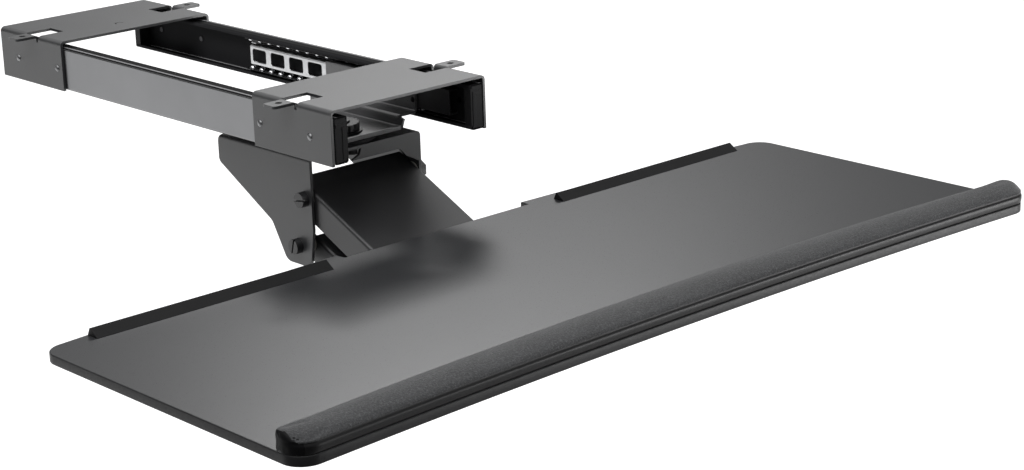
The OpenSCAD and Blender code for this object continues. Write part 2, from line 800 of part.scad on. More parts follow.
module swivel_bracket() {
  flange_y = bracket_front + bracket_sheet;
  flange_bottom = bracket_top - front_flange_h;
  side = bracket_half - bracket_sheet / 2;
  // The flange rises to the left of the middle, and drops to the plate on the right
  flange_line = [[-flange_left, bracket_top - 1], [-flange_left - 2.5, flange_bottom + 3.5],
    [-flange_left - 10, flange_bottom], [flange_right, flange_bottom],
    [flange_right + 6.5, flange_bottom - 6.8], [side, flange_bottom - 14], [side, bracket_top - 1]];
  color([0.27, 0.28, 0.3]) place() difference() {
    union() {
      intersection() {
        along_y(bracket_front, bracket_rear) translate([0, bracket_top])
          channel(bracket_half, plate_h, bracket_sheet, bracket_bend);
        along_x(-bracket_half - 1, bracket_half + 1)
          polygon(rounded(plate_line(), [7, 5, 10, 9, 9, 8, 0]));
      }
      along_y(bracket_front, flange_y) polygon(flange_line);
    }
    rod_z(bracket_top - bracket_sheet - 1, bracket_top + 1, [0, swivel_y], swivel_bolt_d / 2);
    rod_z(bracket_top - bracket_sheet - 1, bracket_top + 1, [-small_screw_x, small_screw_y], small_screw_r);
    rod_x(-bracket_half - 1, bracket_half + 1, upper_pivot, pivot_r);
    rod_x(-bracket_half - 1, bracket_half + 1, lower_pivot, pivot_r);
  }
}

module bracket_screw() {
  under = bracket_top - bracket_sheet;
  color([0.5, 0.5, 0.52]) place() {
    rod_z(under, bracket_top, [-small_screw_x, small_screw_y], small_screw_r);
    difference() {
      rod_z(under - small_screw_head_h, under, [-small_screw_x, small_screw_y], small_screw_head_d / 2);
      translate([-small_screw_x, small_screw_y, under - small_screw_head_h - 1])
        linear_extrude(3.5) hexagon(4);
    }
  }
}

// A slotted bolt that lies sideways, its head to the left and its slot turned from upright
module cross_bolt(at, head_x, end_x, slot_turn) {
  slot_w = 1.6;
  slot_depth = 2;
  rod_x(head_x, end_x, at, pivot_r);
  difference() {
    rod_x(head_x - pivot_head_h, head_x, at, pivot_head_d / 2);
    translate([head_x - pivot_head_h - 1, at[0], at[1]]) rotate([slot_turn, 0, 0])
      translate([0, -slot_w / 2, -pivot_head_d]) cube([slot_depth + 1, slot_w, 2 * pivot_head_d]);
  }
}

// A hexagon nut on such a bolt
module cross_nut(at, x0) {
  difference() {
    along_x(x0, x0 + pivot_nut_h) translate(at) rotate(30) hexagon(pivot_nut_af);
    rod_x(x0 - 1, x0 + pivot_nut_h + 1, at, pivot_r);
  }
}

// A tube on such a bolt
module cross_spacer(at, x0, x1, bore_r) {
  difference() {
    rod_x(x0, x1, at, spacer_d / 2);
    rod_x(x0 - 1, x1 + 1, at, bore_r);
  }
}

module pivot_bolts() {
  bolt_end = bracket_half + pivot_nut_h + 1.5;
  color([0.2, 0.2, 0.21]) place() {
    cross_bolt(upper_pivot, -bracket_half, bolt_end, upper_pivot_slot);
    cross_bolt(lower_pivot, -bracket_half, bolt_end, lower_pivot_slot);
  }
}

module pivot_nuts() {
  color([0.3, 0.3, 0.31]) place() for (at = [upper_pivot, lower_pivot]) {
    cross_nut(at, bracket_half);
  }
}

// Spacers that keep the arms in the middle of the bracket
module pivot_spacers() {
  inside = bracket_half - bracket_sheet;
  color([0.75, 0.75, 0.72]) place() both_sides() {
    cross_spacer(upper_pivot, upper_arm_half, inside, pivot_r);
    cross_spacer(lower_pivot, lower_arm_half, inside, pivot_r);
  }
}

// A channel arm drawn level: rear pivot at the origin, front pivot at -arm_len
module arm_body(half_w, depth, tail, top_start, nose_top_r, end_gap) {
  nose = arm_len + arm_nose;
  side_line = [[tail, arm_top], [tail, -depth], [-nose, -depth], [-nose, arm_top]];
  difference() {
    intersection() {
      along_y(-nose, tail) translate([0, arm_top]) channel(half_w, arm_top + depth, arm_sheet, arm_sheet + 1);
      along_x(-half_w - 1, half_w + 1) polygon(rounded(side_line, [2, 8, 9, nose_top_r]));
    }
    block([arm_sheet - half_w, -nose - 1, 0], [half_w - arm_sheet, arm_top_stop - arm_len, arm_top + 1]);
    block([arm_sheet - half_w, top_start, 0], [half_w - arm_sheet, tail + 1, arm_top + 1]);
    rod_x(-half_w - 1, half_w + 1, [0, 0], pivot_r + turn_gap);
    rod_x(-half_w - 1, half_w + 1, [-arm_len, 0], pivot_r + end_gap);
  }
}

module upper_arm() {
  color([0.2, 0.2, 0.22]) place() translate([0, upper_pivot[0], upper_pivot[1]]) rotate([arm_slope, 0, 0])
    arm_body(upper_arm_half, upper_arm_depth, upper_arm_tail, upper_arm_tail, 8, turn_gap);
}

module lower_arm() {
  color([0.2, 0.2, 0.22]) place() translate([0, lower_pivot[0], lower_pivot[1]]) rotate([arm_slope, 0, 0])
    arm_body(lower_arm_half, lower_arm_depth, lower_arm_tail, -lower_top_start, 8, closing_gap);
}

// The outline of the head bracket's sides, in Y and Z
function head_line() = [
  tilt_axis + [-tilt_boss_r, tilt_boss_r],
  tilt_axis + [2, tilt_boss_r],
  upper_end + [head_boss_r + 0.5, 9],
  lower_end + [head_boss_r, -head_boss_r],
  lower_end + [-head_boss_r, -head_boss_r],
  [head_front, head_web_top - head_web_h],
  [head_front, head_web_top]];

module head_bracket() {
  color([0.2, 0.2, 0.22]) place() difference() {
    union() {
      both_sides() along_x(head_half - head_sheet, head_half)
        polygon(rounded(head_line(), [tilt_boss_r - 0.1, 3, 9, head_boss_r - 0.1, head_boss_r - 0.1, 0, 0]));
      block([1 - head_half, head_front, head_web_top - head_web_h],
        [head_half - 1, head_front + head_sheet, head_web_top]);
    }
    rod_x(-head_half - 1, head_half + 1, tilt_axis, pivot_r);
    rod_x(-head_half - 1, head_half + 1, upper_end, pivot_r);
    rod_x(-head_half - 1, head_half + 1, lower_end, pivot_r);
  }
}

module head_bolts() {
  color([0.2, 0.2, 0.21]) place() {
    cross_bolt(upper_end, -upper_arm_half, upper_arm_half + pivot_nut_h + 1, upper_end_slot);
    cross_bolt(lower_end, -head_half, head_half + pivot_nut_h + 1, lower_end_slot);
  }
}

module head_nuts() {
  color([0.3, 0.3, 0.31]) place() {
    cross_nut(upper_end, upper_arm_half);
    cross_nut(lower_end, head_half);
  }
}

module head_spacers() {
  color([0.75, 0.75, 0.72]) place() both_sides()
    cross_spacer(lower_end, lower_arm_half, head_half - head_sheet, pivot_r);
}

knob_start = head_half + 1.5;

module tilt_bolt() {
  color([0.2, 0.2, 0.21]) place() cross_bolt(tilt_axis, -head_half, knob_start + knob_len / 2, tilt_bolt_slot);
}

module tilt_knob() {
  grip_r = 2;
  color([0.08, 0.08, 0.09]) place() difference() {
    rod_x(knob_start, knob_start + knob_len, tilt_axis, knob_d / 2);
    for (i = [0:knob_grips - 1]) {
      turn = 360 * i / knob_grips;
      rod_x(knob_start + 3, knob_start + knob_len + 1,
        tilt_axis + (knob_d / 2 + grip_r / 2) * [cos(turn), sin(turn)], grip_r);
    }
    rod_x(knob_start - 1, knob_start + knob_len / 2 + 0.5, tilt_axis, pivot_r + turn_gap);
  }
}

// The plate that carries the board, with ears down to the tilt axis
module tray_plate() {
  plan = [[-ear_half, plate_rear], [-ear_half, plate_neck],
    [-plate_half, plate_neck], [-plate_half, plate_front],
    [plate_half, plate_front], [plate_half, plate_neck], [ear_half, plate_neck], [ear_half, plate_rear]];
  corners = [plate_ear_r, plate_neck_r, plate_corner, plate_corner, plate_corner, plate_corner,
    plate_neck_r, plate_ear_r];
  color([0.2, 0.2, 0.22]) place() difference() {
    union() {
      translate([0, 0, board_bottom - tray_sheet]) linear_extrude(tray_sheet) polygon(rounded(plan, corners));
      both_sides() along_x(ear_half - tray_sheet, ear_half) {
        translate(tilt_axis) circle(ear_r);
        translate([tilt_axis[0] - ear_r, tilt_axis[1]]) square([2 * ear_r, board_bottom - 1 - tilt_axis[1]]);
      }
    }
    rod_x(-ear_half - 1, ear_half + 1, tilt_axis, pivot_r + turn_gap);
    for (spot = plate_screw_spots) {
      rod_z(board_bottom - tray_sheet - 1, board_bottom + 1, spot, plate_screw_r);
    }
  }
}

module plate_screws() {
  under = board_bottom - tray_sheet;
  color([0.5, 0.5, 0.52]) place() for (spot = plate_screw_spots) {
    rod_z(under, board_bottom + plate_screw_bite - 0.5, spot, plate_screw_r);
    translate([spot[0], spot[1], under]) rotate([180, 0, 0]) dome(plate_screw_head_r, plate_screw_head_h);
  }
}

// How far a gently bowed edge lies from its end points at a place x
function bow(x, half, depth) = depth * (1 - x * x / (half * half));

// The board's outline: the rear edge with its notch, then the front edge
function board_line() =
  let (
    steps = 24,
    rear_in = board_half - rear_corner_r,
    front_in = board_half - front_corner_r,
    span = rear_in - notch_half,
    rear_at = function (x) -board_rear + bow(x, board_half, rear_bow),
    front_at = function (x) -board_front + bow(x, board_half, front_bow),
    rear_mid = rear_at(rear_in) - rear_corner_r,
    front_mid = front_at(front_in) + front_corner_r
  )
  concat(
    [for (i = [0:steps / 2]) let (x = notch_half + span * (1 - 2 * i / steps)) [x, rear_at(x)]],
    [[notch_half, -notch_y], [-notch_half, -notch_y]],
    [for (i = [0:steps / 2]) let (x = -notch_half - span * 2 * i / steps) [x, rear_at(x)]],
    [for (a = [15:15:90]) [-rear_in - rear_corner_r * sin(a), rear_mid + rear_corner_r * cos(a)]],
    [for (a = [0:15:75]) [-front_in - front_corner_r * cos(a), front_mid - front_corner_r * sin(a)]],
    [for (i = [0:steps]) let (x = front_in * (2 * i / steps - 1)) [x, front_at(x)]],
    [for (a = [15:15:90]) [front_in + front_corner_r * sin(a), front_mid - front_corner_r * cos(a)]],
    [for (a = [0:15:75]) [rear_in + rear_corner_r * cos(a), rear_mid + rear_corner_r * sin(a)]]);

module tray_board() {
  color([0.3, 0.31, 0.33]) place() difference() {
    translate([0, 0, board_bottom]) linear_extrude(board_t) polygon(board_line());
    for (spot = plate_screw_spots) {
      rod_z(board_bottom - 1, board_bottom + plate_screw_bite, spot, plate_screw_r);
    }
  }
}

// The palm rest's section at a place along its length, foot to foot
function rest_ring(x) =
  let (
    front_in = board_half - front_corner_r,
    past = max(0, abs(x) - front_in),
    arc = front_corner_r - sqrt(max(0, front_corner_r * front_corner_r - past * past)),
    front = -board_front + bow(x, board_half, front_bow) + arc,
    rear = -rest_rear + bow(x, board_half, rest_rear_bow),
    depth = rear - front,
    top = board_top + rest_h,
    seam = board_top + rest_seam_h,
    crown_steps = 8
  )
  concat(
    [[x, rear - rest_draw, board_top],
      [x, rear, board_top + rest_h / 2],
      [x, rear - rest_bevel / 4, top - rest_bevel]],
    [for (i = [0:crown_steps])
      let (
        u = i / crown_steps,
        y = rear - rest_bevel * 0.8 - (depth - rest_bevel * 0.8) * u,
        z = top + (seam - top) * pow(u, 2.4) + rest_crown * sin(180 * min(1, u * 1.35)) * (1 - u)
      )
      [x, y, z]],
    [[x, front, seam - 0.8],
      [x, front + rest_draw, board_top]]);

module palm_rest() {
  steps = 40;
  // Places along the length, closer together near the ends
  places = [for (i = [0:steps]) board_half * sin(90 * (2 * i / steps - 1))];
  rings = [for (x = places) rest_ring(x)];
  n = len(rings[0]);
  points = [for (ring = rings) each ring];
  faces = concat(
    [[for (j = [0:n - 1]) j]],
    [for (i = [0:steps - 1]) for (j = [0:n - 1])
      let (k = (j + 1) % n, a = i * n + j, b = i * n + k, c = (i + 1) * n + k, d = (i + 1) * n + j)
      each [[a, c, b], [a, d, c]]],
    [[for (j = [n - 1:-1:0]) steps * n + j]]);
  color([0.16, 0.16, 0.17]) place() polyhedron(points, faces);
}

// A stop bar on the board's rear edge: a ridge with a long slope towards the user
module bar_body() {
  section = [[-bar_y, board_top], [-bar_y - bar_ridge, board_top + bar_h], [-bar_y - bar_depth, board_top]];
  along_x(bar_inner, bar_inner + bar_len) polygon(rounded(section, [0, bar_ridge_r, 0]));
}

module right_stop_bar() {
  color([0.1, 0.1, 0.11]) place() bar_body();
}

module left_stop_bar() {
  color([0.1, 0.1, 0.11]) place() mirror([1, 0, 0]) bar_body();
}

front_cap();
rear_cap();
left_rail();
right_rail();
rail_rivets();
front_bumpers();
rear_bumpers();
left_ball_cage();
right_ball_cage();
left_balls();
right_balls();
left_slider();
right_slider();
carriage_pan();
pan_rivets();
swivel_disc();
swivel_bracket();
swivel_bolt();
swivel_washer();
swivel_nut();
bracket_screw();
pivot_bolts();
pivot_nuts();
pivot_spacers();
upper_arm();
lower_arm();
head_bracket();
head_bolts();
head_nuts();
head_spacers();
tilt_bolt();
tilt_knob();
tray_plate();
plate_screws();
tray_board();
palm_rest();
left_stop_bar();
right_stop_bar();
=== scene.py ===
"""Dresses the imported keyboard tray: finishes, board, palm rest, small details and studio."""
import json
import math
import bmesh
import bpy
from mathutils import Matrix, Vector


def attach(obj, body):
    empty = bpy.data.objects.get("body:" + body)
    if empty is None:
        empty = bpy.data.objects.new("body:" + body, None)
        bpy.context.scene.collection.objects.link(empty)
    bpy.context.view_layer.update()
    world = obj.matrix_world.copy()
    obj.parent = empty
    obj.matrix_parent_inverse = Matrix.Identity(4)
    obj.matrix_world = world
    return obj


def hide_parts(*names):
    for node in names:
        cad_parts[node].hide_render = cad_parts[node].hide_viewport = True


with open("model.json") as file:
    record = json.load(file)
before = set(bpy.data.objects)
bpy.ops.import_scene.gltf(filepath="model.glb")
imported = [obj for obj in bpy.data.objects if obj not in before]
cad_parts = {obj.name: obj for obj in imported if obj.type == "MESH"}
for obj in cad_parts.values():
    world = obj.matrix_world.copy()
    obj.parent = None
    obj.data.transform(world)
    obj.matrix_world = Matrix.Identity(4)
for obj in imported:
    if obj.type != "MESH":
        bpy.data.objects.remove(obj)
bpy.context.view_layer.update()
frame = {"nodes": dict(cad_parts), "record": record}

bl_info = {
    "name": "Keyboard tray dressing",
    "version": (1, 0, 0),
    "blender": (4, 5, 0),
    "location": "View3D > Sidebar > Tray",
    "description": "Finishes, soft pieces and studio for the under-desk keyboard tray",
    "category": "Object",
}

MM = 0.001
# Half the rail length in millimetres; places along the track are counted from the rails' front end
RAIL_HALF = 228.5


# ---------------------------------------------------------------- settings
def length(name, description, default):
    return bpy.props.FloatProperty(
        name=name, description=description, default=default, unit="LENGTH")


def number(name, description, default):
    return bpy.props.FloatProperty(name=name, description=description, default=default)


class KT_BoardSettings(bpy.types.PropertyGroup):
    width: length("Width", "Width of the board", 0.708)
    edge_round: length("Edge rounding", "Radius along the board's edges", 0.0009)
    corner: length("Corner radius", "Radius of the board's corners", 0.016)
    rear_bow: length("Rear bow", "Bow of the rear edge", 0.017)
    front_bow: length("Front bow", "Sag of the front edge", 0.0102)
    notch_half: length("Notch half width", "Half the width of the rear notch", 0.092)


class KT_RestSettings(bpy.types.PropertyGroup):
    height: length("Height", "Height of the palm rest's rear edge", 0.0135)
    seam_height: length("Seam height", "Height of the front seam", 0.0078)
    seam_depth: length("Seam depth", "Depth of the front seam", 0.0013)
    end_round: length("End rounding", "Radius over the top edge of both ends", 0.0036)
    rear_corner: length("Rear corner", "Radius of the rear corners, seen from above", 0.005)
    swell: length("Swell", "Most that the padding pushes the cover out", 0.0009)
    crown: length("Crown", "Rise of the top between its edges", 0.0009)
    stations: bpy.props.IntProperty(
        name="Stations", description="Sections along the length", default=160)


class KT_StudioSettings(bpy.types.PropertyGroup):
    lens: number("Lens", "Focal length in millimetres on a 36 mm sensor", 83.65)
    floor_drop: length("Floor drop", "Depth of the floor below the desk plane", 0.72)
    key_power: number("Key power", "Power of the large soft light in watts", 42.0)
    back_power: number("Back power", "Power of the light far behind the tray in watts", 112.0)
    side_power: number("Side power", "Power of the low light at the right front in watts", 10.0)
    sky: number("Sky", "Brightness of the surrounding room on plain surfaces", 0.3)
    ceiling: number("Ceiling", "Brightness of the room above the horizon in reflections", 1.1)
    floor_glow: number("Floor glow", "What lifts the floor to white in the picture", 0.9)


# ---------------------------------------------------------------- shader helpers
MIX_FACTOR = 0
MIX_FLOATS, MIX_FLOAT_RESULT = (2, 3), 0
MIX_COLOURS, MIX_COLOUR_RESULT = (6, 7), 2
BEVEL_SAMPLES = 6


def new_group(name, inputs, outputs):
    tree = bpy.data.node_groups.new(name, "ShaderNodeTree")
    for label, value in inputs.items():
        socket = tree.interface.new_socket(label, in_out="INPUT", socket_type="NodeSocketFloat")
        socket.default_value = value
    for label in outputs:
        kind = "NodeSocketVector" if label == "Normal" else "NodeSocketFloat"
        tree.interface.new_socket(label, in_out="OUTPUT", socket_type=kind)
    return tree, tree.nodes.new("NodeGroupInput"), tree.nodes.new("NodeGroupOutput")


def feed(tree, made, links=None, values=None):
    """Sets some of a node's input values and links others from sockets."""
    for key, value in (values or {}).items():
        made.inputs[key].default_value = value
    for key, socket in (links or {}).items():
        tree.links.new(socket, made.inputs[key])


def node(tree, kind, links=None, values=None, **props):
    """Adds one node with its properties, input values and links."""
    made = tree.nodes.new(kind)
    for key, value in props.items():
        setattr(made, key, value)
    feed(tree, made, links, values)
    return made


def place_on_part(tree):
    return node(tree, "ShaderNodeTexCoord").outputs["Object"]


def axes(tree, vector):
    return node(tree, "ShaderNodeSeparateXYZ", {"Vector": vector}).outputs


def math_node(tree, operation, links, values=None):
    return node(tree, "ShaderNodeMath", links, values, operation=operation).outputs[0]


def noise(tree, links, **values):
    return node(tree, "ShaderNodeTexNoise", links, values).outputs["Fac"]


def colour_mix(tree, factor, first, second):
    made = node(tree, "ShaderNodeMix", {MIX_FACTOR: factor}, data_type="RGBA")
    for index, colour in zip(MIX_COLOURS, (first, second)):
        if isinstance(colour, tuple):
            made.inputs[index].default_value = (*colour, 1.0)
        else:
            tree.links.new(colour, made.inputs[index])
    return made.outputs[MIX_COLOUR_RESULT]


def spread(tree, value, low, high, start=0.3, stop=0.7, **props):
    limits = {"From Min": start, "From Max": stop, "To Min": low, "To Max": high}
    return node(tree, "ShaderNodeMapRange", {"Value": value}, limits, **props).outputs["Result"]


# ---------------------------------------------------------------- surface groups
# The edge colour, partly wear and partly a painted highlight (a painted shade where it is darker): how much
# the grain breaks it up, and the turn over which it shows
EDGE_GRAIN = 0.4
EDGE_TURN = (0.7, 0.5)
STREAK_STRETCH = (900.0, 25.0, 900.0)
BLOTCH_SCALE = 260.0


def grain_group():
    """Fine surface grain, slow tone changes, an edge mask and a rounded, grained normal."""
    tree, gin, gout = new_group(
        "Surface grain",
        {"Grain scale": 900.0, "Grain depth": 0.25, "Tone scale": 18.0, "Edge radius": 0.0004},
        ("Grain", "Tone", "Edge", "Normal"))
    place = place_on_part(tree)
    grain = noise(tree, {"Vector": place, "Scale": gin.outputs["Grain scale"]}, Detail=4.0, Roughness=0.6)
    tone = noise(tree, {"Vector": place, "Scale": gin.outputs["Tone scale"]}, Detail=5.0, Roughness=0.55)
    rounded = node(tree, "ShaderNodeBevel", {"Radius": gin.outputs["Edge radius"]},
                   samples=BEVEL_SAMPLES)
    flat = node(tree, "ShaderNodeNewGeometry").outputs["Normal"]
    turn = node(tree, "ShaderNodeVectorMath", {0: rounded.outputs["Normal"], 1: flat},
                operation="DOT_PRODUCT")
    broken = math_node(tree, "MULTIPLY_ADD", {0: grain, 2: turn.outputs["Value"]}, {1: -EDGE_GRAIN})
    bump = node(tree, "ShaderNodeBump",
                {"Height": grain, "Strength": gin.outputs["Grain depth"],
                 "Normal": rounded.outputs["Normal"]},
                {"Distance": 0.0001})
    feed(tree, gout, {"Grain": grain, "Tone": tone, "Edge": spread(tree, broken, 0.0, 1.0, *EDGE_TURN),
                      "Normal": bump.outputs["Normal"]})
    return tree


def brush_group():
    """Fine rolled or brushed streaks along the track, with blotches of the plating."""
    tree, gin, gout = new_group(
        "Plated streaks", {"Streak scale": 1.0, "Depth": 0.2}, ("Streak", "Blotch", "Normal"))
    place = place_on_part(tree)
    drawn_out = node(tree, "ShaderNodeMapping", {"Vector": place}, {"Scale": STREAK_STRETCH})
    streak = noise(tree, {"Vector": drawn_out.outputs["Vector"], "Scale": gin.outputs["Streak scale"]},
                   Detail=3.0)
    blotch = node(tree, "ShaderNodeTexVoronoi", {"Vector": place}, {"Scale": BLOTCH_SCALE},
                  feature="SMOOTH_F1")
    rounded = node(tree, "ShaderNodeBevel", None, {"Radius": 0.0005}, samples=BEVEL_SAMPLES)
    bump = node(tree, "ShaderNodeBump",
                {"Height": streak, "Strength": gin.outputs["Depth"],
                 "Normal": rounded.outputs["Normal"]},
                {"Distance": 0.00005})
    feed(tree, gout, {"Streak": streak, "Blotch": blotch.outputs["Distance"],
                      "Normal": bump.outputs["Normal"]})
    return tree


def cover_group():
    """The fine pebbled skin of the palm rest: cells, fibres and slow shading."""
    tree, gin, gout = new_group(
        "Pebbled cover", {"Cell scale": 950.0, "Depth": 0.6}, ("Cells", "Speckle", "Tone", "Normal"))
    place = place_on_part(tree)
    cells = node(tree, "ShaderNodeTexVoronoi", {"Vector": place, "Scale": gin.outputs["Cell scale"]},
                 feature="SMOOTH_F1").outputs["Distance"]
    speckle = noise(tree, {"Vector": place}, Scale=760.0, Detail=5.0, Roughness=0.72)
    tone = noise(tree, {"Vector": place}, Scale=26.0, Detail=3.0)
    height = math_node(tree, "ADD", {0: cells, 1: speckle})
    bump = node(tree, "ShaderNodeBump", {"Height": height, "Strength": gin.outputs["Depth"]},
                {"Distance": 0.0003})
    feed(tree, gout, {"Cells": cells, "Speckle": speckle, "Tone": tone,
                      "Normal": bump.outputs["Normal"]})
    return tree


# ---------------------------------------------------------------- finishes
GROUPS = {}
FINISH = {}

# Each coat: its name, darker and lighter tone, edge colour, range of roughness, grain scale and
# depth, scale of the tones, and strength of the shine
COATS = {
    # The track coat's edge colour is darker than its body: painted shade on the cut edges
    "track_steel": ("track coat", (0.030, 0.031, 0.033), (0.040, 0.041, 0.043), (0.006, 0.006, 0.0065),
                    (0.36, 0.46), 1100.0, 0.16, 18.0, 0.9),
    "bracket_steel": ("bracket coat", (0.026, 0.027, 0.029), (0.034, 0.035, 0.037), (0.08, 0.081, 0.085),
                      (0.36, 0.46), 1100.0, 0.16, 18.0, 0.8),
    "arm_steel": ("arm coat", (0.012, 0.012, 0.013), (0.018, 0.018, 0.020), (0.06, 0.06, 0.064),
                  (0.36, 0.46), 1000.0, 0.16, 18.0, 0.7),
    "black_steel": ("pan coat", (0.082, 0.082, 0.085), (0.102, 0.102, 0.106), (0.16, 0.16, 0.165),
                    (0.26, 0.36), 1000.0, 0.12, 18.0, 0.9),
    # The slider coat is the pan coat darkened as painted shade inside the rails; its pale edge colour is a
    # painted highlight on the cut edges
    "slider_steel": ("slider coat", (0.022, 0.022, 0.023), (0.030, 0.030, 0.032), (0.3, 0.3, 0.305),
                     (0.4, 0.5), 1000.0, 0.12, 18.0, 0.3),
    "dark_bolt": ("black oxide", (0.012, 0.012, 0.013), (0.022, 0.022, 0.024), (0.1, 0.1, 0.105),
                  (0.25, 0.4), 1500.0, 0.3, 90.0, 0.5),
    "black_plastic": ("moulded plastic", (0.008, 0.008, 0.009), (0.012, 0.012, 0.013), (0.025, 0.025, 0.027),
                      (0.5, 0.62), 700.0, 0.35, 40.0, 0.25),
    "bar_plastic": ("bar plastic", (0.006, 0.006, 0.0065), (0.009, 0.009, 0.0095), (0.022, 0.022, 0.024),
                    (0.5, 0.6), 800.0, 0.3, 40.0, 0.15),
    "pale_plastic": ("natural nylon", (0.42, 0.41, 0.37), (0.5, 0.49, 0.45), (0.6, 0.59, 0.55),
                     (0.4, 0.5), 600.0, 0.1, 60.0, 0.5),
    "board_laminate": ("board laminate", (0.030, 0.031, 0.033), (0.034, 0.035, 0.037), (0.06, 0.061, 0.064),
                       (0.27, 0.34), 1300.0, 0.1, 6.0, 0.4),
    "board_edging": ("board edging", (0.012, 0.012, 0.013), (0.019, 0.019, 0.020), (0.03, 0.03, 0.032),
                     (0.34, 0.5), 700.0, 0.3, 60.0, 0.22),
    "rest_band": ("rest band", (0.004, 0.004, 0.0045), (0.006, 0.006, 0.0065), (0.012, 0.012, 0.013),
                  (0.34, 0.44), 900.0, 0.08, 30.0, 0.24),
    "rest_end": ("rest end", (0.004, 0.004, 0.0045), (0.006, 0.006, 0.0065), (0.010, 0.010, 0.011),
                 (0.4, 0.5), 900.0, 0.08, 30.0, 0.08),
}

# Each plating: its name, darker and lighter tone, range of roughness, depth of the streaks, and
# the axis, middle, start and full strength of a darkening: painted shade, and on the cage also grease
PLATINGS = {
    # The rivet tails inside the rails are darkened: painted shade, as on the rails' inside
    "bright_rivet": ("bright rivet", (0.18, 0.182, 0.187), (0.36, 0.364, 0.372), (0.3, 0.42), 0.1,
                     ("X", 0.0, 0.0745, 0.0735)),
    # The cage is darkened outside its middle band: grease and painted shade under the rails' lips
    "zinc_sheet": ("zinc sheet", (0.56, 0.565, 0.575), (0.68, 0.685, 0.695), (0.3, 0.4), 0.1,
                   ("Z", -0.0245, 0.0092, 0.0098)),
    "ball_steel": ("bearing steel", (0.8, 0.8, 0.82), (0.92, 0.92, 0.94), (0.06, 0.12), 0.05, None),
}
# Colour of the darkening: painted shade, and on the cage also grease
SHADE_AND_GREASE_COLOUR = (0.035, 0.035, 0.037)
PLATING_TONES = (0.05, 0.4)

# The rails: colours of the zinc outside, the painted shade on top and inside, the painted highlight line on
# top and the painted shade along the bends
RAIL_ZINC = ((0.195, 0.197, 0.202), (0.235, 0.237, 0.243))
RAIL_TOP_SHADE = (0.006, 0.006, 0.0065)
RAIL_INSIDE_SHADE = (0.03, 0.03, 0.032)
RAIL_HIGHLIGHT_PAINT = (0.4, 0.4, 0.41)
RAIL_EDGE_SHADE = (0.02, 0.02, 0.021)
# Roughness of the coat and of the zinc
RAIL_ROUGH = (0.62, 0.3)
# A face's distance from the middle of the track times its turn outwards, where each side begins
RAIL_OUTER_SIDE = (0.052, 0.068)
RAIL_INNER_SIDE = (-0.05, -0.02)
# Both borders of the painted highlight line on top, and how level a face is to carry it
HIGHLIGHT_LINE_FROM = (0.0695, 0.0705)
HIGHLIGHT_LINE_TO = (0.0712, 0.0722)
HIGHLIGHT_LINE_LEVEL = (0.6, 0.9)

COVER_TONES = ((0.021, 0.0215, 0.023), (0.034, 0.035, 0.037))
COVER_SPECK = (0.14, 0.142, 0.148)
COVER_SPECK_SHARE = 0.5
COVER_SPECK_RANGE = (0.48, 0.68)
COVER_ROUGH = (0.62, 0.9)
COVER_CELL_RANGE = (0.2, 0.8)


def new_material(name):
    made = bpy.data.materials.new(name)
    made.use_nodes = True
    tree = made.node_tree
    return made, tree, tree.nodes["Principled BSDF"]


def use_group(tree, group, **values):
    made = tree.nodes.new("ShaderNodeGroup")
    made.node_tree = group
    feed(tree, made, None, {key.replace("_", " "): value for key, value in values.items()})
    return made.outputs


def coated(name, dark, light, edge, rough, grain_scale, grain_depth, tone_scale, specular):
    """A powder coat or moulded skin: two tones, broken edges whose colour is wear and a painted highlight
    (painted shade where it is darker), varying gloss, fine relief.
    """
    made, tree, shader = new_material(name)
    grain = use_group(tree, GROUPS["grain"],
                      Grain_scale=grain_scale, Grain_depth=grain_depth, Tone_scale=tone_scale)
    body = colour_mix(tree, spread(tree, grain["Tone"], 0.0, 1.0), dark, light)
    feed(tree, shader,
         # The edge colour: wear with a painted highlight, and painted shade where it is darker than the body
         {"Base Color": colour_mix(tree, grain["Edge"], body, edge),
          "Roughness": spread(tree, grain["Grain"], *rough),
          "Normal": grain["Normal"]},
         {"Specular IOR Level": specular})
    return made


def plated(name, dark, light, rough, depth, shade_and_grease):
    """Plated steel with rolled streaks and slight blotches, darkened past a limit along one axis: painted
    shade, and on the cage also grease.
    """
    made, tree, shader = new_material(name)
    streaks = use_group(tree, GROUPS["brush"], Depth=depth)
    both = math_node(tree, "MULTIPLY", {0: streaks["Streak"], 1: streaks["Blotch"]})
    body = colour_mix(tree, spread(tree, both, 0.0, 1.0, *PLATING_TONES), dark, light)
    if shade_and_grease:
        axis, middle, start, stop = shade_and_grease
        side = math_node(tree, "SUBTRACT", {0: axes(tree, place_on_part(tree))[axis]}, {1: middle})
        away = math_node(tree, "ABSOLUTE", {0: side})
        # Darkened past a limit along one axis: painted shade, and on the cage also grease
        body = colour_mix(tree, spread(tree, away, 0.0, 1.0, start, stop), body, SHADE_AND_GREASE_COLOUR)
    feed(tree, shader,
         {"Base Color": body,
          "Roughness": spread(tree, streaks["Streak"], *rough),
          "Normal": streaks["Normal"]},
         {"Metallic": 1.0})
    return made


